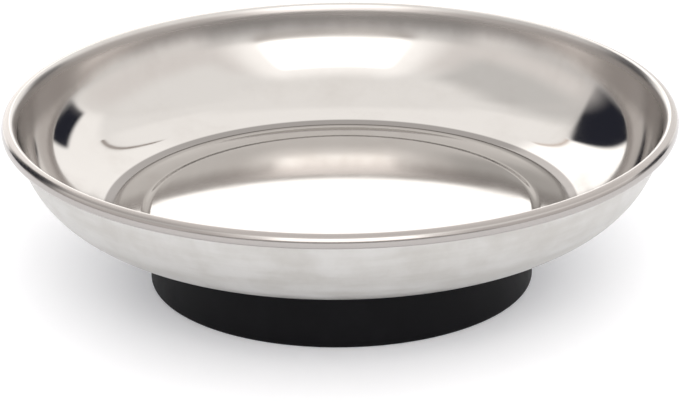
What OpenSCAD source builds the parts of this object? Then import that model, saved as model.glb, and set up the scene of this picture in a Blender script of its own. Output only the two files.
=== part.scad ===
// Magnetic parts tray: a pressed steel dish with a curled rim, standing on a ring magnet in a rubber boot.
// A stud welded under the dish, a pressed cup, a spring washer and a nut hold the magnet and the boot.
// Sizes are in millimetres. The origin is the centre of the face that the tray stands on, and +Z is up.

/* [Dish] */
// Diameter of the dish over its curled rim
dish_d = 151; // [130:1:190]
// Depth from the floor beside the pad to the top of the rim
dish_depth = 22.9; // [18:0.1:26]
// Thickness of the pressed sheet
sheet_t = 0.6; // [0.4:0.05:0.8]
// Width of the wall, from the edge of the floor to the inside of the rim
wall_w = 21.2; // [18.5:0.1:26]
// Slope of the wall where it leaves the floor, in degrees
wall_foot_angle = 16; // [8:1:30]
// Inside radius of the bend between the floor and the wall
knuckle_r = 8; // [2:0.5:14]
// Inside radius of the flatter stretch at the top of the wall
flare_r = 45; // [30:1:80]
// Turn of that stretch, in degrees
flare_turn = 7; // [3:1:12]
// Slope of the wall at its top, where it turns out to the rim, in degrees
wall_top_angle = 79; // [76:1:84]

/* [Rim] */
// Width of the curl, from the top of the wall to the outside of the rim
curl_w = 3.3; // [2.8:0.1:4]
// Height of the curl
curl_h = 2.9; // [2.6:0.1:4.5]
// Radius of the turn from the wall to the crest, on the inside face
lead_r = 3.6; // [2.4:0.1:4.2]
// Slope of the sheet where that turn meets the crest, in degrees
crest_angle = 50; // [40:1:60]
// Radius of the hollow under the crest
crest_hollow_r = 0.25; // [0.15:0.05:0.5]
// Outside radius of the tuck at the curl's free edge
tuck_r = 0.9; // [0.85:0.05:1.2]
// Turn of the tuck, in degrees
tuck_angle = 50; // [15:5:80]

/* [Floor pad] */
// Height of the round pad pressed up in the floor
pad_step = 0.5; // [0.2:0.05:0.8]
// Width of the slope round the pad
pad_slope_w = 2.5; // [1.6:0.1:3.5]
// Room round the top of the boot where it seats in the underside of the pad
pad_gap = 0.3; // [0.1:0.05:0.6]

/* [Magnet] */
// Outer diameter of the ring magnet
magnet_d = 80; // [60:1:86]
// Bore of the ring magnet
magnet_bore_d = 32; // [26:1:40]
// Height of the ring magnet
magnet_h = 12; // [9:0.5:16]
// Chamfer on the edges of the ring magnet
magnet_chamfer = 0.8; // [0.2:0.1:1.5]
// Thickness of the foam between the magnet and the dish
foam_t = 0.8; // [0.4:0.1:1.5]

/* [Boot] */
// Thickness of the boot's side
boot_wall_t = 2.8; // [1.6:0.1:4]
// Thickness of the boot under the magnet
boot_floor_t = 3.5; // [3.4:0.1:6]
// Thickness of the inner lip that the cup's flange holds against the magnet
boot_lip_t = 1.4; // [0.8:0.1:2]
// Rounding of the boot's outer edges
boot_edge_r = 0.8; // [0.3:0.1:1.5]

/* [Clamp cup] */
// Diameter of the cup's flange
cup_flange_d = 48; // [44:1:60]
// Thickness of the cup's sheet
cup_t = 1; // [0.6:0.1:1.2]
// Outside radius of the bend between the cup's top and its side
cup_top_bend_r = 2; // [1.4:0.1:3]
// Radius of the bend between the cup's side and its flange, on the magnet's side
cup_foot_bend_r = 0.8; // [0.4:0.1:1.5]

/* [Fastening] */
// Diameter of the stud's shank
stud_d = 6; // [5:0.5:8]
// Diameter of the stud's welded flange
stud_flange_d = 7.5; // [7:0.1:10]
// Thickness of the stud's welded flange
stud_flange_t = 1; // [0.6:0.1:1.5]
// Chamfer at the stud's free end
stud_chamfer = 0.7; // [0.3:0.1:1.2]
// Length of stud that stands out of the nut
stud_proud = 0.7; // [0.2:0.1:1]
// Width of the nut across its flats
nut_flats = 10; // [9:0.5:13]
// Height of the nut
nut_h = 5; // [4:0.2:6]
// Height of the chamfer on the nut's corners
nut_chamfer = 0.4; // [0.2:0.05:0.6]
// Outer diameter of the spring washer
washer_d = 11.8; // [11:0.1:14]
// Thickness of the spring washer
washer_t = 1.6; // [1:0.1:2]
// Width of the slit in the spring washer
washer_slit_w = 1; // [0.6:0.1:1.6]
// Tilt of the slit in the spring washer, in degrees
washer_slit_tilt = 20; // [0:1:35]
// Height of the nut above the face that the tray stands on
nut_clear = 1.6; // [1.2:0.1:2.4]

/* [Fits] */
// Room round the magnet in the boot
magnet_fit = 0.2; // [0.1:0.05:0.4]
// Room round the cup in the magnet's bore
cup_fit = 0.3; // [0.1:0.05:0.5]
// Room round the cup's flange in the boot
flange_fit = 0.3; // [0.1:0.05:0.6]
// Room round the stud in the cup and the spring washer
stud_fit = 0.25; // [0.1:0.05:0.5]
// Room between the stud and the nut, in place of the thread
thread_fit = 0.1; // [0.05:0.05:0.2]

/* [Hidden] */
$fn = 180;

// Largest turn of one straight step of an arc, in degrees
arc_step = 5;
// Points closer than this count as one
same_point = 0.0001;
// How far a cut runs past the face that it opens
overrun = 1;

// Magnet, foam and boot, stacked up from the face that the tray stands on
magnet_z = boot_floor_t;
foam_z = magnet_z + magnet_h;
boot_h = foam_z + foam_t;
boot_cavity_r = magnet_d / 2 + magnet_fit;
boot_r = boot_cavity_r + boot_wall_t;

// Floor of the dish, with its pad seated on the boot
pad_under_z = boot_h;
pad_top_z = pad_under_z + sheet_t;
floor_top_z = pad_top_z - pad_step;
pad_r = boot_r - boot_edge_r + pad_gap;
slope_end_r = pad_r + pad_slope_w;
slope_turn = 2 * atan2(pad_step, pad_slope_w);
slope_r = pad_slope_w / 2 / sin(slope_turn);

// Curl, measured on the polished face: the lead rises from the wall, the crest tops it and the back comes down
dish_r = dish_d / 2;
rim_z = floor_top_z + dish_depth;
crest_r = crest_hollow_r + sheet_t;
back_r = curl_w - crest_r * sin(crest_angle) - lead_r * (sin(wall_top_angle) - sin(crest_angle));
back_centre = [dish_r - back_r, rim_z - back_r];
crest_centre = [dish_r - back_r, rim_z - crest_r];
lead_centre = crest_centre + (lead_r - crest_r) * facing_down(crest_angle);
tuck_centre = [dish_r - tuck_r, min(rim_z - curl_h + tuck_r * sin(tuck_angle), back_centre.y)];

// Flatter top of the wall, which runs down from the lead
flare_angle = wall_top_angle - flare_turn;
flare_centre = lead_centre - (lead_r + flare_r) * facing_down(wall_top_angle);
flare_foot = flare_centre + flare_r * facing_down(flare_angle);

// Wall, an arc between the flare and the straight foot that leaves the floor.
// The floor stays clear of the pad's slope, and a narrow wall leaves it more steeply.
knuckle_run = knuckle_r * tan(wall_foot_angle / 2);
floor_r = max(dish_r - curl_w - wall_w, slope_end_r + knuckle_run);
wall_run = flare_foot.x - floor_r;
wall_rise = flare_foot.y - floor_top_z;
foot_angle = max(wall_foot_angle, 2 * atan2(wall_rise, wall_run) - flare_angle);
wall_turn = flare_angle - foot_angle;
wall_tangent = (wall_rise * cos(foot_angle) - wall_run * sin(foot_angle)) / sin(wall_turn);
wall_r = wall_tangent / tan(wall_turn / 2);
wall_centre = flare_foot - wall_r * facing_down(flare_angle);
foot_length = (wall_run - wall_tangent * cos(flare_angle)) / cos(foot_angle) - wall_tangent;

// Knuckle, which takes up no more than the straight foot
bend_r = min(knuckle_r, foot_length / tan(foot_angle / 2));
knuckle_centre = [floor_r - bend_r * tan(foot_angle / 2), floor_top_z + bend_r];

// Cup, with the nut inside its well
nut_z = nut_clear;
washer_z = nut_z + nut_h;
cup_top_z = washer_z + washer_t + cup_t;
flange_top_z = boot_floor_t - boot_lip_t;
well_r = magnet_bore_d / 2 - cup_fit;
stud_hole_r = stud_d / 2 + stud_fit;
stud_end_z = nut_z - stud_proud;

// Direction square to a slope, out of the back of the sheet
function facing_down(slope) = [sin(slope), -cos(slope)];

// Points on an arc from one angle to another, in degrees
function arc(centre, r, from, to) =
    let (steps = ceil(abs(to - from) / arc_step))
    [
        for (i = [0 : steps])
            let (angle = from + (to - from) * i / steps)
                centre + r * [cos(angle), sin(angle)]
    ];

function reversed(points) = [for (i = [len(points) - 1 : -1 : 0]) points[i]];

// An outline without the points that repeat where one stretch ends and the next begins
function joined(points) = [
    for (i = [0 : len(points) - 1])
        if (i == 0 || norm(points[i] - points[max(i - 1, 0)]) > same_point) points[i]
];

// One face of the dish's sheet, from the axis to the free edge of the curl.
// Depth is how far the face lies behind the polished inside face.
function dish_face(depth) = joined(concat(
    [[0, pad_top_z - depth]],
    arc([pad_r, pad_top_z - slope_r], slope_r - depth, 90, 90 - slope_turn),
    arc([slope_end_r, floor_top_z + slope_r], slope_r + depth, 270 - slope_turn, 270),
    arc(knuckle_centre, bend_r + depth, 270, 270 + foot_angle),
    arc(wall_centre, wall_r + depth, 270 + foot_angle, 270 + flare_angle),
    arc(flare_centre, flare_r + depth, 270 + flare_angle, 270 + wall_top_angle),
    arc(lead_centre, lead_r - depth, 90 + wall_top_angle, 90 + crest_angle),
    arc(crest_centre, crest_r - depth, 90 + crest_angle, 90),
    arc(back_centre, back_r - depth, 90, 0),
    arc(tuck_centre, tuck_r - depth, 0, -tuck_angle)
));

// One face of the cup's sheet, from the stud's hole to the rim of the flange.
// Depth is how far the face lies behind the one that meets the magnet.
function cup_face(depth) = joined(concat(
    [[stud_hole_r, cup_top_z - depth]],
    arc([well_r - cup_top_bend_r, cup_top_z - cup_top_bend_r], cup_top_bend_r - depth, 90, 0),
    arc([well_r + cup_foot_bend_r, flange_top_z + cup_foot_bend_r], cup_foot_bend_r + depth, 180, 270),
    [[cup_flange_d / 2, flange_top_z - depth]]
));

module dish() {
    color([0.79, 0.78, 0.76])
        rotate_extrude()
            polygon(concat(dish_face(0), reversed(dish_face(sheet_t))));
}

module weld_stud() {
    stud_r = stud_d / 2;
    color([0.72, 0.72, 0.7])
        rotate_extrude()
            polygon([
                [0, pad_under_z],
                [stud_flange_d / 2, pad_under_z],
                [stud_flange_d / 2, pad_under_z - stud_flange_t],
                [stud_r, pad_under_z - stud_flange_t],
                [stud_r, stud_end_z + stud_chamfer],
                [stud_r - stud_chamfer, stud_end_z],
                [0, stud_end_z]
            ]);
}

module foam_pad() {
    color([0.16, 0.16, 0.17])
        translate([0, 0, foam_z])
            difference() {
                cylinder(h = foam_t, d = magnet_d);
                translate([0, 0, -overrun])
                    cylinder(h = foam_t + 2 * overrun, d = magnet_bore_d);
            }
}

module ring_magnet() {
    inner_r = magnet_bore_d / 2;
    outer_r = magnet_d / 2;
    color([0.2, 0.19, 0.19])
        translate([0, 0, magnet_z])
            rotate_extrude()
                polygon([
                    [inner_r + magnet_chamfer, 0],
                    [outer_r - magnet_chamfer, 0],
                    [outer_r, magnet_chamfer],
                    [outer_r, magnet_h - magnet_chamfer],
                    [outer_r - magnet_chamfer, magnet_h],
                    [inner_r + magnet_chamfer, magnet_h],
                    [inner_r, magnet_h - magnet_chamfer],
                    [inner_r, magnet_chamfer]
                ]);
}

module clamp_cup() {
    color([0.7, 0.7, 0.69])
        rotate_extrude()
            polygon(concat(cup_face(0), reversed(cup_face(cup_t))));
}

module spring_washer() {
    bore_r = stud_hole_r;
    color([0.6, 0.6, 0.6])
        translate([0, 0, washer_z])
            difference() {
                cylinder(h = washer_t, d = washer_d);
                translate([0, 0, -overrun])
                    cylinder(h = washer_t + 2 * overrun, r = bore_r);
                // The slit runs from the bore out through the rim, tilted as the coil was cut
                translate([washer_d / 2, 0, washer_t / 2])
                    rotate([washer_slit_tilt, 0, 0])
                        cube([washer_d, washer_slit_w, 2 * (washer_t + overrun)], center = true);
            }
}

module hex_nut() {
    corner_r = nut_flats / 2 / cos(30);
    flat_r = nut_flats / 2;
    bore_r = stud_d / 2 + thread_fit;
    color([0.74, 0.74, 0.72])
        translate([0, 0, nut_z])
            difference() {
                intersection() {
                    cylinder(h = nut_h, r = corner_r, $fn = 6);
                    // The turned cone that takes the corners off both faces
                    rotate_extrude()
                        polygon([
                            [0, 0],
                            [flat_r, 0],
                            [corner_r, nut_chamfer],
                            [corner_r, nut_h - nut_chamfer],
                            [flat_r, nut_h],
                            [0, nut_h]
                        ]);
                }
                translate([0, 0, -overrun])
                    cylinder(h = nut_h + 2 * overrun, r = bore_r);
            }
}

module boot() {
    recess_r = cup_flange_d / 2 + flange_fit;
    lip_r = well_r + cup_foot_bend_r;
    edge_r = boot_r - boot_edge_r;
    color([0.07, 0.07, 0.07])
        rotate_extrude()
            polygon(concat(
                [[recess_r, 0]],
                arc([edge_r, boot_edge_r], boot_edge_r, 270, 360),
                arc([edge_r, boot_h - boot_edge_r], boot_edge_r, 0, 90),
                [
                    [boot_cavity_r, boot_h],
                    [boot_cavity_r, boot_floor_t],
                    [lip_r, boot_floor_t],
                    [lip_r, flange_top_z],
                    [recess_r, flange_top_z]
                ]
            ));
}

dish();
weld_stud();
foam_pad();
ring_magnet();
clamp_cup();
spring_washer();
hex_nut();
boot();
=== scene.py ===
import math
import random

import bmesh
import bpy
from mathutils import Matrix, Vector


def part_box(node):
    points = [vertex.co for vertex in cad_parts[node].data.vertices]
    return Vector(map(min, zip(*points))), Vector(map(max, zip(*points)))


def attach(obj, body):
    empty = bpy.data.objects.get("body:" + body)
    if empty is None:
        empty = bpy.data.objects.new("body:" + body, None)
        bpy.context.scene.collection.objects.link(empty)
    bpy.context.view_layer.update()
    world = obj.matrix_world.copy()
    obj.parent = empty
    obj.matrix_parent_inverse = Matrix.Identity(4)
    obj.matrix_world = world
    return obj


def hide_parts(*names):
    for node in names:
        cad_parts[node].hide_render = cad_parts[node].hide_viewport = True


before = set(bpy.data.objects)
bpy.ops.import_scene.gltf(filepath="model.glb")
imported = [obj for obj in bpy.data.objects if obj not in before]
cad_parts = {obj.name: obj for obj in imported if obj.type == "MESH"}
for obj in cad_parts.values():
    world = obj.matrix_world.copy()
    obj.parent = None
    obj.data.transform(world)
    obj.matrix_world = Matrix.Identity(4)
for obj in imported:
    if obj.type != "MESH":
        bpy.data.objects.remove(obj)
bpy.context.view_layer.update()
print("frame loaded,", len(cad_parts), "CAD nodes")


# Modelling helpers

modelling = {
    "seedPlane": 0.001,
    "mergeWithin": 0.000002,
    "cutWithin": 0.0000001,
    "edgeSegments": 2,
}


def deselectAll():
    if bpy.context.object and bpy.context.object.mode != "OBJECT":
        bpy.ops.object.mode_set(mode="OBJECT")
    bpy.ops.object.select_all(action="DESELECT")


def nodeSize(node):
    low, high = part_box(node)
    return {"radius": high[0], "halfWidth": high[1], "bottom": low[2], "top": high[2]}


def along(point, length, slope):
    # a point at some length from another, in a direction given by its slope in degrees
    angle = math.radians(slope)
    return (point[0] + length * math.cos(angle), point[1] + length * math.sin(angle))


def arcPoints(centre, radius, startAngle, endAngle, steps):
    points = []
    for i in range(steps + 1):
        angle = math.radians(startAngle + (endAngle - startAngle) * i / steps)
        points.append((centre[0] + radius * math.cos(angle), centre[1] + radius * math.sin(angle)))
    return points


def easedStep(startPoint, endPoint, steps):
    # an S-shaped stretch between two heights, as a pressed step has
    points = []
    for i in range(steps + 1):
        share = i / steps
        ease = (1 - math.cos(math.pi * share)) / 2
        points.append((
            startPoint[0] + (endPoint[0] - startPoint[0]) * share,
            startPoint[1] + (endPoint[1] - startPoint[1]) * ease,
        ))
    return points


def drawProfile(name, points):
    # a plane merged to one vertex, drawn out point by point in the XZ plane
    deselectAll()
    bpy.ops.mesh.primitive_plane_add(size=modelling["seedPlane"])
    piece = bpy.context.object
    piece.name = name
    piece.data.name = name
    bpy.ops.object.mode_set(mode="EDIT")
    bpy.ops.mesh.select_all(action="SELECT")
    bpy.ops.mesh.merge(type="CENTER")
    bpy.ops.transform.translate(value=(points[0][0], 0, points[0][1]))
    for here, there in zip(points, points[1:]):
        move = (there[0] - here[0], 0, there[1] - here[1])
        bpy.ops.mesh.extrude_vertices_move(TRANSFORM_OT_translate={"value": move})
    return piece


def mergeAndFaceOut():
    bpy.ops.mesh.select_all(action="SELECT")
    bpy.ops.mesh.remove_doubles(threshold=modelling["mergeWithin"])
    bpy.ops.mesh.normals_make_consistent(inside=False)


def turnedPiece(name, points, steps):
    # a profile spun once round the Z axis
    piece = drawProfile(name, points)
    bpy.ops.mesh.select_all(action="SELECT")
    bpy.ops.mesh.spin(steps=steps, angle=math.tau, center=(0, 0, 0), axis=(0, 0, 1))
    mergeAndFaceOut()
    bpy.ops.object.mode_set(mode="OBJECT")
    return piece


def faceUp(piece):
    # turns an open sheet over if its largest level face looks down
    flattest = max(piece.data.polygons, key=lambda face: abs(face.normal.z) * face.area)
    if flattest.normal.z < 0:
        bpy.ops.object.mode_set(mode="EDIT")
        bpy.ops.mesh.select_all(action="SELECT")
        bpy.ops.mesh.flip_normals()
        bpy.ops.object.mode_set(mode="OBJECT")


def thicken(piece, thickness):
    # the back of the sheet takes the piece's second material
    solid = piece.modifiers.new("sheetThickness", "SOLIDIFY")
    solid.thickness = thickness
    solid.offset = -1
    solid.use_even_offset = True
    solid.use_quality_normals = True
    solid.material_offset = 1
    solid.material_offset_rim = 1
    bpy.ops.object.modifier_apply(modifier=solid.name)


def cut(piece, tool, operation):
    # a Boolean with a tool that is deleted afterwards
    deselectAll()
    bpy.context.view_layer.objects.active = piece
    piece.select_set(True)
    boolean = piece.modifiers.new("cut", "BOOLEAN")
    boolean.operation = operation
    boolean.solver = "EXACT"
    boolean.object = tool
    bpy.ops.object.modifier_apply(modifier=boolean.name)
    bpy.data.objects.remove(tool, do_unlink=True)


def softenEdges(piece, width, sharperThan):
    bevel = piece.modifiers.new("edges", "BEVEL")
    bevel.width = width
    bevel.segments = modelling["edgeSegments"]
    bevel.limit_method = "ANGLE"
    bevel.angle_limit = math.radians(sharperThan)
    bpy.ops.object.modifier_apply(modifier=bevel.name)


def shade(piece, angle):
    deselectAll()
    bpy.context.view_layer.objects.active = piece
    piece.select_set(True)
    bpy.ops.object.shade_smooth_by_angle(angle=math.radians(angle))


def handIn(piece, node, slotName, *materials):
    # rides on the one body, stands for its CAD node and carries its finishes
    for material in materials:
        piece.data.materials.append(material)
    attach(piece, "root")
    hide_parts(node)


# Shader helpers

# how many finer layers a noise has, and how strong each is beside the one before it
noiseKinds = {
    "soft": (2.0, 0.5),
    "brushed": (3.0, 0.6),
    "cloudy": (4.0, 0.6),
    "patchy": (4.0, 0.65),
}


class Socket:
    # wraps a shader socket: sums on it add Math nodes

    def __init__(self, tree, source):
        self.tree = tree
        self.source = source

    def node(self, kind, settings=None, inputs=None, output=0):
        made = self.tree.nodes.new(kind)
        for name, value in (settings or {}).items():
            setattr(made, name, value)
        for name, value in (inputs or {}).items():
            if isinstance(value, Socket):
                self.tree.links.new(value.source, made.inputs[name])
            else:
                made.inputs[name].default_value = value
        return Socket(self.tree, made.outputs[output])

    def maths(self, operation, first, second=0.0):
        return self.node("ShaderNodeMath", {"operation": operation}, {0: first, 1: second})

    def __add__(self, other):
        return self.maths("ADD", self, other)

    def __radd__(self, other):
        return self.maths("ADD", other, self)

    def __sub__(self, other):
        return self.maths("SUBTRACT", self, other)

    def __rsub__(self, other):
        return self.maths("SUBTRACT", other, self)

    def __mul__(self, other):
        return self.maths("MULTIPLY", self, other)

    def __rmul__(self, other):
        return self.maths("MULTIPLY", other, self)

    def ramp(self, low, high):
        # 0 below low and 1 above high, eased between them
        settings = {"interpolation_type": "SMOOTHSTEP", "clamp": True}
        return self.node("ShaderNodeMapRange", settings, {"Value": self, "From Min": low, "From Max": high})

    def within(self, low, high, softness):
        return self.ramp(low - softness, low + softness) * (1 - self.ramp(high - softness, high + softness))

    def mixed(self, first, second):
        # a colour between two, by this value
        settings = {"data_type": "RGBA", "clamp_factor": True}
        return self.node("ShaderNodeMix", settings, {0: self, 6: first, 7: second}, 2)

    def axis(self, index):
        return self.node("ShaderNodeSeparateXYZ", None, {0: self}, index)

    def stretched(self, scale):
        return self.node("ShaderNodeMapping", None, {"Vector": self, "Scale": scale})

    def noise(self, scale, kind):
        detail, roughness = noiseKinds[kind]
        inputs = {"Vector": self, "Scale": scale, "Detail": detail, "Roughness": roughness}
        return self.node("ShaderNodeTexNoise", None, inputs)

    def bump(self, strength, distance):
        inputs = {"Height": self, "Strength": strength, "Distance": distance}
        return self.node("ShaderNodeBump", None, inputs)


def colour(red, green, blue):
    return (red, green, blue, 1.0)


def newMaterial(name):
    # a material, its shader node and its Object coordinates
    material = bpy.data.materials.new(name)
    material.use_nodes = True
    tree = material.node_tree
    shader = tree.nodes["Principled BSDF"]
    coordinates = tree.nodes.new("ShaderNodeTexCoord")
    return material, shader, Socket(tree, coordinates.outputs["Object"])


def feed(shader, **inputs):
    # names of inputs are written without their spaces
    for socket in shader.inputs:
        value = inputs.get(socket.name.replace(" ", ""))
        if value is None:
            continue
        if isinstance(value, Socket):
            value.tree.links.new(value.source, socket)
        else:
            socket.default_value = value


def turnedPlace(place):
    # coordinates that follow a turned surface, then its distance from the axis and its height
    angle = place.maths("ARCTAN2", place.axis(1), place.axis(0)) * (1 / math.tau)
    flat = place.node("ShaderNodeVectorMath", {"operation": "MULTIPLY"}, {0: place, 1: (1, 1, 0)})
    radius = place.node("ShaderNodeVectorMath", {"operation": "LENGTH"}, {0: flat}, 1)
    height = place.axis(2)
    rings = place.node("ShaderNodeCombineXYZ", None, {0: radius, 1: height, 2: angle})
    return rings, radius, height


# Finishes: a bump is its strength and its depth, and a noise rises from 0 to 1 over its range

# depths run down from the rim, leadEnd and rimBand run outwards from its crest,
# and bendBand runs outwards from the edge of the floor
polishedSteel = {
    "colour": colour(0.618, 0.601, 0.584),
    "hazeColour": colour(0.578, 0.556, 0.536),
    # painted dark reflection on the belt at the top of the wall
    "drawnColour": colour(0.392, 0.370, 0.357),
    # painted dark reflection on the rolled band of the rim
    "rimColour": colour(0.405, 0.380, 0.365),
    # painted shade in the crease at the foot of the wall
    "bendColour": colour(0.272, 0.257, 0.248),
    "roughness": 0.06,
    "hazeRoughness": 0.04,
    "drawnRoughness": 0.10,
    "leadRoughness": 0.12,
    "rimRoughness": 0.05,
    "buffingRoughness": 0.03,
    "buffingPerMetre": 2600.0,
    "buffingStretch": (1, 1, 0.004),
    "buffingBump": (0.02, 0.00001),
    "hazePerMetre": 60.0,
    "hazeRange": (0.45, 0.8),
    "streaksPerMetre": 60.0,
    "streaksPerTurn": 70.0,
    "streakReach": 0.0020,
    "streakFloor": 0.4,
    "streakDepth": (0.0093, 0.0173),
    "drawnDepth": (0.0068, 0.0121),
    "beltDepth": (0.0030, 0.0067),
    "beltTop": (0.0004, 0.0011),
    "beltDrop": 0.0034,
    "beltSides": (0.70, 0.90),
    "leadDepth": (0.0021, 0.0033),
    "leadEnd": (-0.0003, 0.0001),
    "rimBand": (0.00005, 0.00140),
    "rimSoftness": 0.00012,
    "bendBand": (0.0002, 0.0024),
    "bendSoftness": 0.0003,
}


def makePolishedSteel(rimTop, crestRadius, floorRadius):
    look = polishedSteel
    material, shader, place = newMaterial("polishedSteel")
    rings, radius, height = turnedPlace(place)
    below = rimTop - height
    beyond = radius - crestRadius
    buffing = rings.stretched(look["buffingStretch"]).noise(look["buffingPerMetre"], "brushed")
    haze = place.noise(look["hazePerMetre"], "cloudy").ramp(*look["hazeRange"])
    streaks = rings.stretched((0, look["streaksPerMetre"], look["streaksPerTurn"])).noise(1.0, "brushed")
    # the press left the top of the wall rough, and a darker belt there is a painted dark reflection
    # that ends in streaks and hangs lower at the sides
    sideways = place.maths("ABSOLUTE", place.axis(0)) * (1 / crestRadius)
    wander = look["streakReach"] * (streaks - 0.5) + look["beltDrop"] * sideways.ramp(*look["beltSides"])
    belt = (1 - (below - wander).ramp(*look["beltDepth"])) * below.ramp(*look["beltTop"])
    drawn = 1 - below.ramp(*look["drawnDepth"])
    # the roller that turned the rim left it rougher; the band on the back of its crest is rougher still and
    # painted darker, a painted dark reflection
    lead = (1 - below.ramp(*look["leadDepth"])) * (1 - beyond.ramp(*look["leadEnd"]))
    rolled = beyond.within(*look["rimBand"], look["rimSoftness"])
    # painted shade: a darker ring in the crease where the floor bends up into the wall
    bend = (radius - floorRadius).within(*look["bendBand"], look["bendSoftness"])
    bloom = haze + (streaks - look["streakFloor"]) * (1 - below.ramp(*look["streakDepth"]))
    bright = bloom.mixed(look["colour"], look["hazeColour"])
    wall = bend.mixed(belt.mixed(bright, look["drawnColour"]), look["bendColour"])
    pressed = look["drawnRoughness"] * drawn + look["leadRoughness"] * lead + look["rimRoughness"] * rolled
    buffed = look["hazeRoughness"] * haze + look["buffingRoughness"] * (buffing - 0.5)
    feed(
        shader,
        BaseColor=rolled.mixed(wall, look["rimColour"]),
        Metallic=1.0,
        Roughness=look["roughness"] + buffed + pressed,
        Normal=buffing.bump(*look["buffingBump"]),
    )
    return material


satinSteel = {
    "colour": colour(0.492, 0.480, 0.458),
    "paleColour": colour(0.588, 0.582, 0.569),
    "roughness": 0.40,
    "cloudRoughness": 0.08,
    "grainRoughness": 0.1,
    "grainPerMetre": 3000.0,
    "grainStretch": (1, 1, 0.02),
    "grainBump": (0.15, 0.00002),
    "smearsPerTurn": 14.0,
    "smearsPerMetre": 220.0,
    "smearShare": 0.5,
    "cloudsPerMetre": 110.0,
    "cloudRange": (0.36, 0.64),
}


def makeSatinSteel():
    look = satinSteel
    material, shader, place = newMaterial("satinSteel")
    rings = turnedPlace(place)[0]
    grain = rings.stretched(look["grainStretch"]).noise(look["grainPerMetre"], "brushed")
    # smears run round the wall, with finer clouds in them
    upWall = look["smearsPerMetre"]
    smears = rings.stretched((upWall, upWall, look["smearsPerTurn"])).noise(1.0, "brushed")
    fine = place.noise(look["cloudsPerMetre"], "cloudy")
    share = look["smearShare"]
    clouds = ((1 - share) * fine + share * smears).ramp(*look["cloudRange"])
    dulling = look["cloudRoughness"] * (clouds - 0.5) + look["grainRoughness"] * (grain - 0.5)
    feed(
        shader,
        BaseColor=clouds.mixed(look["colour"], look["paleColour"]),
        Metallic=1.0,
        Roughness=look["roughness"] + dulling,
        Normal=grain.bump(*look["grainBump"]),
    )
    return material


mouldedRubber = {
    "colour": colour(0.0028, 0.0028, 0.0038),
    "wornColour": colour(0.006, 0.006, 0.0075),
    "fleckColour": colour(0.30, 0.30, 0.31),
    "roughness": 0.56,
    "wornRoughness": 0.12,
    "specular": 0.11,
    "wornPerMetre": 110.0,
    "wornRange": (0.4, 0.8),
    "flecksPerMetre": 900.0,
    "fleckRange": (0.66, 0.72),
    "fleckDepth": (0.0004, 0.0012),
    "grainPerMetre": 2400.0,
    "grainBump": (0.25, 0.00003),
}


def makeMouldedRubber(topEdge):
    look = mouldedRubber
    material, shader, place = newMaterial("mouldedRubber")
    grain = place.noise(look["grainPerMetre"], "soft")
    worn = place.noise(look["wornPerMetre"], "patchy").ramp(*look["wornRange"])
    # a few pale specks where the boot was trimmed at its top edge
    nearTop = 1 - (topEdge - place.axis(2)).ramp(*look["fleckDepth"])
    flecks = place.noise(look["flecksPerMetre"], "soft").ramp(*look["fleckRange"]) * nearTop
    base = worn.mixed(look["colour"], look["wornColour"])
    feed(
        shader,
        BaseColor=flecks.mixed(base, look["fleckColour"]),
        Roughness=look["roughness"] + look["wornRoughness"] * (worn - 0.5),
        SpecularIORLevel=look["specular"],
        Normal=grain.bump(*look["grainBump"]),
    )
    return material


zincPlate = {
    "colour": colour(0.72, 0.72, 0.71),
    "blueColour": colour(0.66, 0.69, 0.73),
    "roughness": 0.216,
    "bloomRoughness": 0.16,
    "bloomPerMetre": 180.0,
    "bloomRange": (0.35, 0.75),
    "grainPerMetre": 2600.0,
    "grainBump": (0.12, 0.00002),
}


def makeZincPlate():
    look = zincPlate
    material, shader, place = newMaterial("zincPlate")
    bloom = place.noise(look["bloomPerMetre"], "patchy").ramp(*look["bloomRange"])
    grain = place.noise(look["grainPerMetre"], "soft")
    feed(
        shader,
        BaseColor=bloom.mixed(look["colour"], look["blueColour"]),
        Metallic=1.0,
        Roughness=look["roughness"] + look["bloomRoughness"] * bloom,
        Normal=grain.bump(*look["grainBump"]),
    )
    return material


dullSpring = {
    "colour": colour(0.46, 0.46, 0.465),
    "darkColour": colour(0.30, 0.30, 0.31),
    "roughness": 0.42,
    "patchRoughness": 0.15,
    "patchesPerMetre": 420.0,
    "patchRange": (0.35, 0.8),
    "patchBump": (0.15, 0.00003),
}


def makeDullSpring():
    look = dullSpring
    material, shader, place = newMaterial("dullSpring")
    patches = place.noise(look["patchesPerMetre"], "patchy").ramp(*look["patchRange"])
    feed(
        shader,
        BaseColor=patches.mixed(look["colour"], look["darkColour"]),
        Metallic=1.0,
        Roughness=look["roughness"] + look["patchRoughness"] * (patches - 0.5),
        Normal=patches.bump(*look["patchBump"]),
    )
    return material


groundFerrite = {
    "colour": colour(0.050, 0.048, 0.047),
    "paleColour": colour(0.085, 0.082, 0.080),
    "roughness": 0.62,
    "layRoughness": 0.2,
    "layPerMetre": 900.0,
    "layStretch": (1, 0.03, 1),
    "layRange": (0.35, 0.75),
    "poresPerMetre": 1500.0,
    "poreRange": (0.62, 0.75),
    "groundBump": (0.3, 0.00004),
}


def makeGroundFerrite():
    look = groundFerrite
    material, shader, place = newMaterial("groundFerrite")
    lay = place.stretched(look["layStretch"]).noise(look["layPerMetre"], "brushed")
    pores = place.noise(look["poresPerMetre"], "soft").ramp(*look["poreRange"])
    feed(
        shader,
        BaseColor=lay.ramp(*look["layRange"]).mixed(look["colour"], look["paleColour"]),
        Roughness=look["roughness"] + look["layRoughness"] * (lay - 0.5),
        Normal=(lay - pores).bump(*look["groundBump"]),
    )
    return material


closedCellFoam = {
    "colour": colour(0.030, 0.030, 0.032),
    "cellColour": colour(0.060, 0.060, 0.063),
    "roughness": 0.9,
    "cellRoughness": 0.1,
    "cellsPerMetre": 2200.0,
    "cellRange": (0.1, 0.7),
    "cellBump": (0.6, 0.0001),
}


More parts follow.
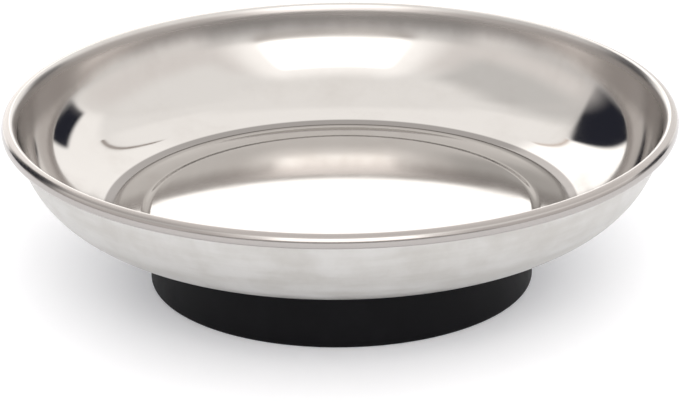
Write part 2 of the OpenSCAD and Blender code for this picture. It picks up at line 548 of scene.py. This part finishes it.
def makeClosedCellFoam():
    look = closedCellFoam
    material, shader, place = newMaterial("closedCellFoam")
    inputs = {"Vector": place, "Scale": look["cellsPerMetre"]}
    cells = place.node("ShaderNodeTexVoronoi", {"feature": "F1"}, inputs)
    feed(
        shader,
        BaseColor=cells.ramp(*look["cellRange"]).mixed(look["colour"], look["cellColour"]),
        Roughness=look["roughness"] - look["cellRoughness"] * cells,
        Normal=cells.bump(*look["cellBump"]),
    )
    return material


# Dish: one pressed sheet, drawn on its inside face and thickened behind it

dish = {
    "sheet": 0.0006,
    "floorRadius": 0.0510,
    "wallFootAngle": 16.0,
    "kneeRadius": 0.008,
    "flareFootAngle": 72.0,
    "flareTopAngle": 79.0,
    "flareRadius": 0.045,
    "leadRadius": 0.0036,
    "crestAngle": 50.0,
    "crestRadius": 0.00085,
    "curlWidth": 0.0033,
    "curlHeight": 0.0029,
    "tuckRadius": 0.0009,
    "tuckTurn": 50.0,
    "padHeight": 0.0005,
    "padRadius": 0.0425,
    "padSlope": 0.0025,
    "padShares": (0, 1 / 3, 0.7, 0.96),
    "floorShares": (0.1, 0.5, 0.9),
    "steps": {"pad": 12, "knee": 14, "wall": 40, "flare": 8, "lead": 8, "crest": 8, "back": 16, "tuck": 8},
    "turnSteps": 320,
    "smoothUnder": 35.0,
}


def curlBackRadius():
    # what the crest and the lead up to it leave of the curl's width
    crestReach = math.sin(math.radians(dish["crestAngle"]))
    leadReach = math.sin(math.radians(dish["flareTopAngle"])) - crestReach
    return dish["curlWidth"] - dish["crestRadius"] * crestReach - dish["leadRadius"] * leadReach


def dishProfile(size):
    # slopes in degrees, from the flat floor up the wall and over the curl
    footSlope = dish["wallFootAngle"]
    flareFoot = dish["flareFootAngle"]
    flareTop = dish["flareTopAngle"]
    crestSlope = dish["crestAngle"]
    floorTop = size["bottom"] + dish["sheet"]
    padTop = floorTop + dish["padHeight"]
    padFoot = dish["padRadius"] + dish["padSlope"]
    # the curl, from its free edge inwards to the wall
    tuckDrop = dish["tuckRadius"] * math.sin(math.radians(dish["tuckTurn"]))
    tuckCentre = (size["radius"] - dish["tuckRadius"], size["top"] - dish["curlHeight"] + tuckDrop)
    backRadius = curlBackRadius()
    crestTop = (size["radius"] - backRadius, size["top"])
    backCentre = along(crestTop, backRadius, -90)
    crestCentre = along(crestTop, dish["crestRadius"], -90)
    leadCentre = along(crestCentre, dish["leadRadius"] - dish["crestRadius"], crestSlope - 90)
    flareCentre = along(leadCentre, dish["leadRadius"] + dish["flareRadius"], flareTop + 90)
    # the wall's arc meets the flare above it and the sloping foot below it
    wallTop = along(flareCentre, dish["flareRadius"], flareFoot - 90)
    run = wallTop[0] - dish["floorRadius"]
    rise = wallTop[1] - floorTop
    foot = math.radians(footSlope)
    turn = math.radians(flareFoot - footSlope)
    tangent = (rise * math.cos(foot) - run * math.sin(foot)) / math.sin(turn)
    wallRadius = tangent / math.tan(turn / 2)
    wallCentre = along(wallTop, wallRadius, flareFoot + 90)
    kneeRadius = dish["kneeRadius"]
    kneeCentre = (dish["floorRadius"] - kneeRadius * math.tan(foot / 2), floorTop + kneeRadius)
    # all of it from the axis outwards
    steps = dish["steps"]
    points = [(dish["padRadius"] * share, padTop) for share in dish["padShares"]]
    points += easedStep((dish["padRadius"], padTop), (padFoot, floorTop), steps["pad"])
    points += [(padFoot + (kneeCentre[0] - padFoot) * share, floorTop) for share in dish["floorShares"]]
    points += arcPoints(kneeCentre, kneeRadius, 270, 270 + footSlope, steps["knee"])
    points += arcPoints(wallCentre, wallRadius, 270 + footSlope, 270 + flareFoot, steps["wall"])
    flare = arcPoints(flareCentre, dish["flareRadius"], 270 + flareFoot, 270 + flareTop, steps["flare"])
    points += flare[1:]
    points += arcPoints(leadCentre, dish["leadRadius"], 90 + flareTop, 90 + crestSlope, steps["lead"])[1:]
    points += arcPoints(crestCentre, dish["crestRadius"], 90 + crestSlope, 90, steps["crest"])[1:]
    points += arcPoints(backCentre, backRadius, 90, 0, steps["back"])[1:]
    points += arcPoints(tuckCentre, dish["tuckRadius"], 0, -dish["tuckTurn"], steps["tuck"])
    return points


def makeDish():
    size = nodeSize("dish")
    piece = turnedPiece("pressedDish", dishProfile(size), dish["turnSteps"])
    faceUp(piece)
    crestRadius = size["radius"] - curlBackRadius()
    polished = makePolishedSteel(size["top"], crestRadius, dish["floorRadius"])
    handIn(piece, "dish", "polished_stainless", polished, makeSatinSteel())
    thicken(piece, dish["sheet"])
    shade(piece, dish["smoothUnder"])


makeDish()
print("dish pressed and curled")


# Boot: moulded rubber cup, with a trimmed top edge and a recess for the clamp cup

boot = {
    "cavityRadius": 0.0402,
    "floor": 0.0035,
    "recessRadius": 0.0243,
    "lipRadius": 0.0165,
    "lip": 0.0014,
    "outerRound": 0.0008,
    "innerRound": 0.0004,
    "edgeSteps": 10,
    "softSteps": 4,
    "sideSteps": 8,
    "turnSteps": 256,
    "smoothUnder": 40.0,
    "nicks": 26,
    "nickDepth": 0.00025,
    "nickWidth": 0.0012,
    "leastNick": 0.4,
    "seed": 7,
}


def bootProfile(size):
    low = size["bottom"]
    high = size["top"]
    cavity = boot["cavityRadius"]
    recess = boot["recessRadius"]
    edge = boot["outerRound"]
    soft = boot["innerRound"]
    edgeSteps = boot["edgeSteps"]
    softSteps = boot["softSteps"]
    sideSteps = boot["sideSteps"]
    floorTop = low + boot["floor"]
    lipFoot = floorTop - boot["lip"]
    lipEdge = boot["lipRadius"] + soft
    edgeCentre = size["radius"] - edge
    side = high - low - 2 * edge
    points = arcPoints((recess + soft, low + soft), soft, 180, 270, softSteps)
    points += arcPoints((edgeCentre, low + edge), edge, 270, 360, edgeSteps)
    points += [(size["radius"], low + edge + side * i / sideSteps) for i in range(1, sideSteps)]
    points += arcPoints((edgeCentre, high - edge), edge, 0, 90, edgeSteps)
    points += arcPoints((cavity + soft, high - soft), soft, 90, 180, softSteps)
    points += [(cavity, floorTop), (lipEdge, floorTop)]
    points += arcPoints((lipEdge, lipFoot + soft), soft, 180, 270, softSteps)
    points += [(recess, lipFoot), points[0]]
    return points


def nickTopEdge(piece, size):
    # shallow nicks where the flash was trimmed off by hand
    random.seed(boot["seed"])
    least = boot["leastNick"]
    nicks = [(random.uniform(0, math.tau), random.uniform(least, 1.0)) for i in range(boot["nicks"])]
    edgeFoot = size["top"] - boot["outerRound"]
    innerEdge = boot["cavityRadius"] + boot["innerRound"]
    bpy.context.view_layer.objects.active = piece
    bpy.ops.object.mode_set(mode="EDIT")
    mesh = bmesh.from_edit_mesh(piece.data)
    for vertex in mesh.verts:
        reach = vertex.co.xy.length
        if vertex.co.z < edgeFoot or reach < innerEdge:
            continue
        angle = math.atan2(vertex.co.y, vertex.co.x) % math.tau
        for place, depth in nicks:
            apart = abs((angle - place + math.pi) % math.tau - math.pi) * reach
            fall = max(0.0, 1 - apart / (boot["nickWidth"] * depth))
            vertex.co.z -= boot["nickDepth"] * depth * fall
    bmesh.update_edit_mesh(piece.data)
    bpy.ops.object.mode_set(mode="OBJECT")


def makeBoot():
    size = nodeSize("boot")
    piece = turnedPiece("rubberBoot", bootProfile(size), boot["turnSteps"])
    nickTopEdge(piece, size)
    handIn(piece, "boot", "black_rubber", makeMouldedRubber(size["top"]))
    shade(piece, boot["smoothUnder"])


makeBoot()
print("boot moulded")


# Fastening: clamp cup, spring washer, nut and welded stud, seen from below

clampCup = {
    "sheet": 0.001,
    "topBend": 0.002,
    "footBend": 0.0008,
    "wellRadius": 0.0157,
    "holeRadius": 0.00325,
    "topBendSteps": 10,
    "footBendSteps": 6,
    "turnSteps": 192,
    "edge": 0.0001,
    "edgeAngle": 50.0,
    "smoothUnder": 35.0,
}


def makeClampCup(plate):
    size = nodeSize("clamp_cup")
    well = clampCup["wellRadius"]
    topBend = clampCup["topBend"]
    footBend = clampCup["footBend"]
    flangeTop = size["bottom"] + clampCup["sheet"]
    topCentre = (well - topBend, size["top"] - topBend)
    footCentre = (well + footBend, flangeTop + footBend)
    points = [(clampCup["holeRadius"], size["top"])]
    points += arcPoints(topCentre, topBend, 90, 0, clampCup["topBendSteps"])
    points += arcPoints(footCentre, footBend, 180, 270, clampCup["footBendSteps"])
    points += [(size["radius"], flangeTop)]
    piece = turnedPiece("clampCup", points, clampCup["turnSteps"])
    faceUp(piece)
    handIn(piece, "clamp_cup", "zinc_plated_steel", plate, plate)
    thicken(piece, clampCup["sheet"])
    softenEdges(piece, clampCup["edge"], clampCup["edgeAngle"])
    shade(piece, clampCup["smoothUnder"])


springWasher = {
    "bore": 0.00325,
    "slit": 0.001,
    "slitHeight": 0.01,
    "slitTilt": 20.0,
    "turnSteps": 96,
    "edge": 0.00012,
    "edgeAngle": 40.0,
    "smoothUnder": 35.0,
}


def makeSpringWasher():
    size = nodeSize("spring_washer")
    bore = springWasher["bore"]
    outer = size["radius"]
    low = size["bottom"]
    high = size["top"]
    points = [(bore, low), (outer, low), (outer, high), (bore, high), (bore, low)]
    piece = turnedPiece("springWasher", points, springWasher["turnSteps"])
    deselectAll()
    bpy.ops.mesh.primitive_cube_add(size=1.0)
    slit = bpy.context.object
    bpy.ops.transform.resize(value=(2 * outer, springWasher["slit"], springWasher["slitHeight"]))
    slit.matrix_world = (
        Matrix.Translation((outer, 0, (low + high) / 2))
        @ Matrix.Rotation(math.radians(springWasher["slitTilt"]), 4, "X")
        @ slit.matrix_world
    )
    cut(piece, slit, "DIFFERENCE")
    softenEdges(piece, springWasher["edge"], springWasher["edgeAngle"])
    handIn(piece, "spring_washer", "spring_steel", makeDullSpring())
    shade(piece, springWasher["smoothUnder"])


hexNut = {
    "bore": 0.0031,
    "sink": 0.0005,
    "coneRise": 0.00044,
    "coneOver": 1.02,
    "turnSteps": 96,
    "edge": 0.00008,
    "edgeAngle": 25.0,
    "smoothUnder": 30.0,
}


def makeHexNut(plate):
    size = nodeSize("hex_nut")
    low = size["bottom"]
    high = size["top"]
    middle = (0, 0, (low + high) / 2)
    flat = size["halfWidth"]
    halfSide = math.pi / 6
    corner = flat / math.cos(halfSide)
    deselectAll()
    bpy.ops.mesh.primitive_cylinder_add(vertices=6, radius=corner, depth=high - low, location=middle)
    piece = bpy.context.object
    piece.name = "hexNut"
    bpy.ops.object.transform_apply(location=True, rotation=False, scale=False)
    bpy.ops.object.mode_set(mode="EDIT")
    bpy.ops.mesh.select_all(action="SELECT")
    bpy.ops.transform.rotate(value=halfSide, orient_axis="Z", center_override=(0, 0, 0))
    bpy.ops.object.mode_set(mode="OBJECT")
    # a double cone takes the corners off at both ends
    coneRise = hexNut["coneRise"]
    coneRadius = corner * hexNut["coneOver"]
    cone = turnedPiece("cornerCone", [
        (0, low),
        (flat, low),
        (coneRadius, low + coneRise),
        (coneRadius, high - coneRise),
        (flat, high),
        (0, high),
    ], hexNut["turnSteps"])
    cut(piece, cone, "INTERSECT")
    # the bore, countersunk at both ends
    bore = hexNut["bore"]
    sink = hexNut["sink"]
    drill = turnedPiece("drill", [
        (0, low - sink),
        (bore + 2 * sink, low - sink),
        (bore, low + sink),
        (bore, high - sink),
        (bore + 2 * sink, high + sink),
        (0, high + sink),
    ], hexNut["turnSteps"])
    cut(piece, drill, "DIFFERENCE")
    softenEdges(piece, hexNut["edge"], hexNut["edgeAngle"])
    handIn(piece, "hex_nut", "zinc_plated_steel", plate)
    shade(piece, hexNut["smoothUnder"])


# the tooth, where the winding starts, its overrun and the run-out are shares of the pitch
weldStud = {
    "shankRadius": 0.003,
    "flange": 0.001,
    "endChamfer": 0.0007,
    "pitch": 0.001,
    "threadDepth": 0.00055,
    "threadClearance": 0.00006,
    "threadTop": 0.0084,
    "tooth": (0.42, 0.54, 0.96),
    "start": 2.605,
    "overrun": 0.75,
    "runOut": 0.3,
    "spareTurns": 2,
    "windingSteps": 40,
    "blankOver": 1.01,
    "shoulderUnder": 0.98,
    "turnSteps": 96,
    "smoothUnder": 30.0,
}


def windThread(low, root):
    # one tooth, wound up past both ends and cut off square there, in planes clear of its corners
    pitch = weldStud["pitch"]
    crest = weldStud["shankRadius"] - weldStud["threadClearance"]
    rise, fall, foot = weldStud["tooth"]
    start = low - weldStud["start"] * pitch
    tooth = [(root, 0), (crest, rise), (crest, fall), (root, foot), (root, 1)]
    thread = drawProfile("weldStud", [(reach, start + share * pitch) for reach, share in tooth])
    bpy.ops.object.mode_set(mode="OBJECT")
    winding = thread.modifiers.new("winding", "SCREW")
    winding.axis = "Z"
    winding.screw_offset = pitch
    winding.iterations = math.ceil((weldStud["threadTop"] - start) / pitch) + weldStud["spareTurns"]
    winding.steps = weldStud["windingSteps"]
    winding.render_steps = weldStud["windingSteps"]
    winding.use_merge_vertices = True
    bpy.ops.object.modifier_apply(modifier=winding.name)
    bpy.ops.object.mode_set(mode="EDIT")
    mergeAndFaceOut()
    overrun = weldStud["overrun"] * pitch
    for height, clearAbove in ((low - overrun, False), (weldStud["threadTop"] + overrun, True)):
        bpy.ops.mesh.select_all(action="SELECT")
        bpy.ops.mesh.bisect(
            plane_co=(0, 0, height), plane_no=(0, 0, 1), use_fill=True, threshold=modelling["cutWithin"],
            clear_inner=not clearAbove, clear_outer=clearAbove,
        )
    mergeAndFaceOut()
    bpy.ops.object.mode_set(mode="OBJECT")
    return thread


def makeWeldStud(plate):
    size = nodeSize("weld_stud")
    low = size["bottom"]
    shank = weldStud["shankRadius"]
    pitch = weldStud["pitch"]
    chamfer = weldStud["endChamfer"]
    threadTop = weldStud["threadTop"]
    root = shank - weldStud["threadDepth"]
    piece = windThread(low, root)
    # the blank that the thread is cut in, with its chamfered end
    blankRadius = shank * weldStud["blankOver"]
    blank = turnedPiece("blank", [
        (0, low),
        (shank - chamfer, low),
        (blankRadius, low + chamfer),
        (blankRadius, threadTop),
        (0, threadTop),
    ], weldStud["turnSteps"])
    cut(piece, blank, "INTERSECT")
    # the plain shank above the thread, and the welded flange
    flangeFoot = size["top"] - weldStud["flange"]
    shoulder = turnedPiece("shoulder", [
        (0, threadTop - pitch),
        (root * weldStud["shoulderUnder"], threadTop - pitch),
        (shank, threadTop - weldStud["runOut"] * pitch),
        (shank, flangeFoot),
        (size["radius"], flangeFoot),
        (size["radius"], size["top"]),
        (0, size["top"]),
    ], weldStud["turnSteps"])
    cut(piece, shoulder, "UNION")
    handIn(piece, "weld_stud", "zinc_plated_steel", plate)
    shade(piece, weldStud["smoothUnder"])


zincFinish = makeZincPlate()
makeClampCup(zincFinish)
makeSpringWasher()
makeHexNut(zincFinish)
makeWeldStud(zincFinish)
print("clamp cup, washer, nut and stud made")


# Foam ring and magnet, sealed inside the boot

foam = {
    "bore": 0.016,
    "bulge": 0.0001,
    "bulgeSteps": 6,
    "turnSteps": 128,
    "smoothUnder": 40.0,
}


def makeFoamRing():
    size = nodeSize("foam_pad")
    thickness = size["top"] - size["bottom"]
    outer = []
    inner = []
    for i in range(foam["bulgeSteps"] + 1):
        share = i / foam["bulgeSteps"]
        inset = foam["bulge"] * (1 - math.sin(math.pi * share))
        outer.append((size["radius"] - inset, size["bottom"] + thickness * share))
        inner.append((foam["bore"] + inset, size["top"] - thickness * share))
    piece = turnedPiece("foamRing", outer + inner + outer[:1], foam["turnSteps"])
    handIn(piece, "foam_pad", "foam", makeClosedCellFoam())
    shade(piece, foam["smoothUnder"])


def dressMagnet():
    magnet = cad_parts["ring_magnet"]
    magnet.data.materials.clear()
    magnet.data.materials.append(makeGroundFerrite())


makeFoamRing()
dressMagnet()
print("foam ring made and magnet dressed")


# Stage: pale bench, soft surroundings and camera

bench = {
    "width": 4.0,
    "colour": colour(0.93, 0.943, 0.968),
    "paleColour": colour(0.95, 0.96, 0.98),
    "lift": colour(0.145, 0.149, 0.160),
    "noLift": colour(0, 0, 0),
    "roughness": 0.9,
    "tonesPerMetre": 3.0,
    "toneRange": (0.2, 0.8),
}


def makeBench():
    deselectAll()
    bpy.ops.mesh.primitive_plane_add(size=bench["width"])
    piece = bpy.context.object
    piece.name = "paleBench"
    material, shader, place = newMaterial("paleBench")
    tone = place.noise(bench["tonesPerMetre"], "soft").ramp(*bench["toneRange"])
    # lifts the bench towards white where it is seen, also in the steel, and adds no light elsewhere
    cameraRay = place.node("ShaderNodeLightPath", output="Is Camera Ray")
    glossyRay = place.node("ShaderNodeLightPath", output="Is Glossy Ray")
    feed(
        shader,
        BaseColor=tone.mixed(bench["colour"], bench["paleColour"]),
        Roughness=bench["roughness"],
        SpecularIORLevel=0.0,
        EmissionColor=(cameraRay + glossyRay).mixed(bench["noLift"], bench["lift"]),
        EmissionStrength=1.0,
    )
    piece.data.materials.append(material)


dome = {"light": 1.18, "tint": (1.025, 1.0, 0.975), "seen": colour(1, 1, 1)}
brown = (1.0, 0.84, 0.74)
navy = (0.85, 0.9, 1.3)
rosy = (1.03, 0.98, 0.95)


def softPanel(side, bearing, height, soft, light, tint=dome["tint"], lean=0.0, tilt=0.0, oval=False):
    return {
        "side": side, "bearing": bearing, "height": height, "soft": soft,
        "light": light, "tint": tint, "lean": lean, "tilt": tilt, "oval": oval,
    }


# Soft panels round the bench, later ones over earlier ones. Bearings are degrees to the right of
# straight behind the tray, or for the near panels to the right of the camera. Heights are degrees
# above the bench. A lean moves a panel's sides with height, and a tilt its top and bottom with bearing.
# An oval panel is the oval that its bearings and heights enclose.
panels = [
    softPanel("far", (-112, -54), (-20, 54), soft=12, light=0.82),
    softPanel("far", (-112, -66), (-20, 22), soft=10, light=0.68),
    softPanel("far", (64, 118), (-20, 56), soft=12, light=1.14),
    softPanel("far", (-46, 46), (39, 62), soft=5, light=1.28),
    softPanel("far", (4, 66), (-20, 44.2), soft=3, light=1.36, tilt=0.2),
    softPanel("far", (-72, -5), (-22, 38.2), soft=1.3, light=0.03, tint=navy, oval=True),
    softPanel("far", (-39.3, 3.5), (-20, 38.5), soft=1.8, light=1.83, lean=0.14),
    softPanel("far", (42.8, 66.5), (-20, 20.5), soft=1.8, light=0.03, tint=navy, lean=-0.15),
    softPanel("far", (-34, -14.5), (38.2, 39.3), soft=0.5, light=0.85, tint=brown),
    softPanel("far", (14.8, 42), (43.7, 45.1), soft=0.5, light=0.36, tint=brown, tilt=0.2),
    softPanel("near", (-110, 110), (7, 52), soft=12, light=1.01, tint=rosy),
    softPanel("far", (-126, -68), (28, 60), soft=8, light=0.82),
    softPanel("far", (66, 128), (32, 70), soft=8, light=1.13),
    softPanel("near", (-38, 42), (12, 66), soft=9, light=1.54),
    softPanel("near", (-126, 126), (-20, 6), soft=5, light=0.77),
    softPanel("near", (-50, 50), (-20, 14), soft=6, light=0.60),
    softPanel("near", (-28, 32), (13.5, 18.6), soft=1.5, light=0.28, tint=brown),
    softPanel("near", (-25, 29), (19, 55), soft=3.5, light=3.0),
]


def lightColour(lit):
    return colour(*(lit["light"] * share for share in lit["tint"]))


def panelMask(panel, bearing, height):
    across = bearing - height * panel["lean"]
    upright = height + bearing * panel["tilt"]
    soft = panel["soft"]
    if not panel["oval"]:
        return across.within(*panel["bearing"], soft) * upright.within(*panel["height"], soft)
    reach = 0
    for way, (low, high) in ((across, panel["bearing"]), (upright, panel["height"])):
        share = (way - (low + high) / 2) * (2 / (high - low))
        reach = reach + share * share
    low, high = panel["bearing"]
    edge = 4 * soft / (high - low)
    return 1 - reach.ramp(1 - edge, 1 + edge)


def makeSurroundings():
    world = bpy.data.worlds.new("surroundings")
    world.use_nodes = True
    bpy.context.scene.world = world
    tree = world.node_tree
    background = tree.nodes["Background"]
    coordinates = tree.nodes.new("ShaderNodeTexCoord")
    heading = Socket(tree, coordinates.outputs["Generated"])
    x = heading.axis(0)
    y = heading.axis(1)
    degrees = 180 / math.pi
    height = heading.maths("ARCSINE", heading.axis(2)) * degrees
    bearings = {
        "far": heading.maths("ARCTAN2", x, y) * degrees,
        "near": heading.maths("ARCTAN2", x, 0 - y) * degrees,
    }
    glow = lightColour(dome)
    for panel in panels:
        mask = panelMask(panel, bearings[panel["side"]], height)
        glow = mask.mixed(glow, lightColour(panel))
    # the camera sees plain white behind the tray
    cameraRay = heading.node("ShaderNodeLightPath", output="Is Camera Ray")
    tree.links.new(cameraRay.mixed(glow, dome["seen"]).source, background.inputs["Color"])


view = {
    "distance": 1.0,
    "elevation": 22.464,
    "aim": (-0.0002, 0, 0.0175),
    "roll": -0.655,
    "lens": 234.0,
    "sensorWidth": 36.0,
    "clipStart": 0.05,
}


def makeCamera():
    camera = bpy.data.cameras.new("viewer")
    camera.lens = view["lens"]
    camera.sensor_width = view["sensorWidth"]
    camera.clip_start = view["clipStart"]
    viewer = bpy.data.objects.new("viewer", camera)
    bpy.context.scene.collection.objects.link(viewer)
    rise = math.radians(view["elevation"])
    spot = Vector((0, -view["distance"] * math.cos(rise), view["distance"] * math.sin(rise)))
    turn = (Vector(view["aim"]) - spot).to_track_quat("-Z", "Y").to_matrix()
    roll = Matrix.Rotation(math.radians(view["roll"]), 3, "Z")
    viewer.matrix_world = Matrix.Translation(spot) @ (turn @ roll).to_4x4()
    bpy.context.scene.camera = viewer


makeBench()
makeSurroundings()
makeCamera()
bpy.context.scene.view_settings.view_transform = "Standard"
print("bench, light and camera set")
